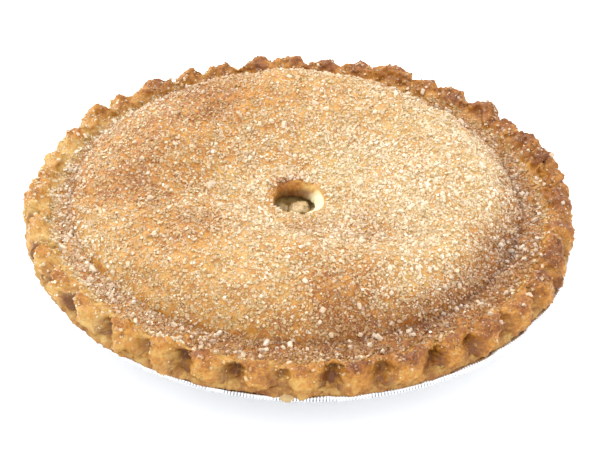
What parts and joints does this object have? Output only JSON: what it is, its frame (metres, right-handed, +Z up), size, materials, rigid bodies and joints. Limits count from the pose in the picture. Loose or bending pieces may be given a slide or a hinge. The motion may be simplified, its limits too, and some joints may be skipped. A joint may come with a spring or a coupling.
{
  "type": "double-crust fruit pie in a foil tin",
  "caption": "Whole round fruit pie with a domed sugared lid, round centre vent and crimped standing edge, in a sloping-sided foil tin with a rolled rim.",
  "frame": {"origin": "centre of the foil tin's flat underside", "axes": "+Z up out of the pie; -Y is the side shown at the front"},
  "size_m": [0.2464, 0.245, 0.0512],
  "materials": {
    "foil": "thin bright foil, slightly wrinkled, knurled rim",
    "baked_top": "baked golden pastry, browned on raised edges, strewn with coarse sugar; matte_plastic stands for pastry",
    "pale_pastry": "golden-brown bottom pastry; matte_plastic stands for pastry",
    "cooked_fruit": "moist cooked fruit in syrup; gloss_plastic stands for it"
  },
  "bodies": {
    "root": {"foil_tin": "foil", "bottom_crust": "pale_pastry", "apple_filling": "cooked_fruit", "top_crust": "baked_top"}
  },
  "joints": []
}
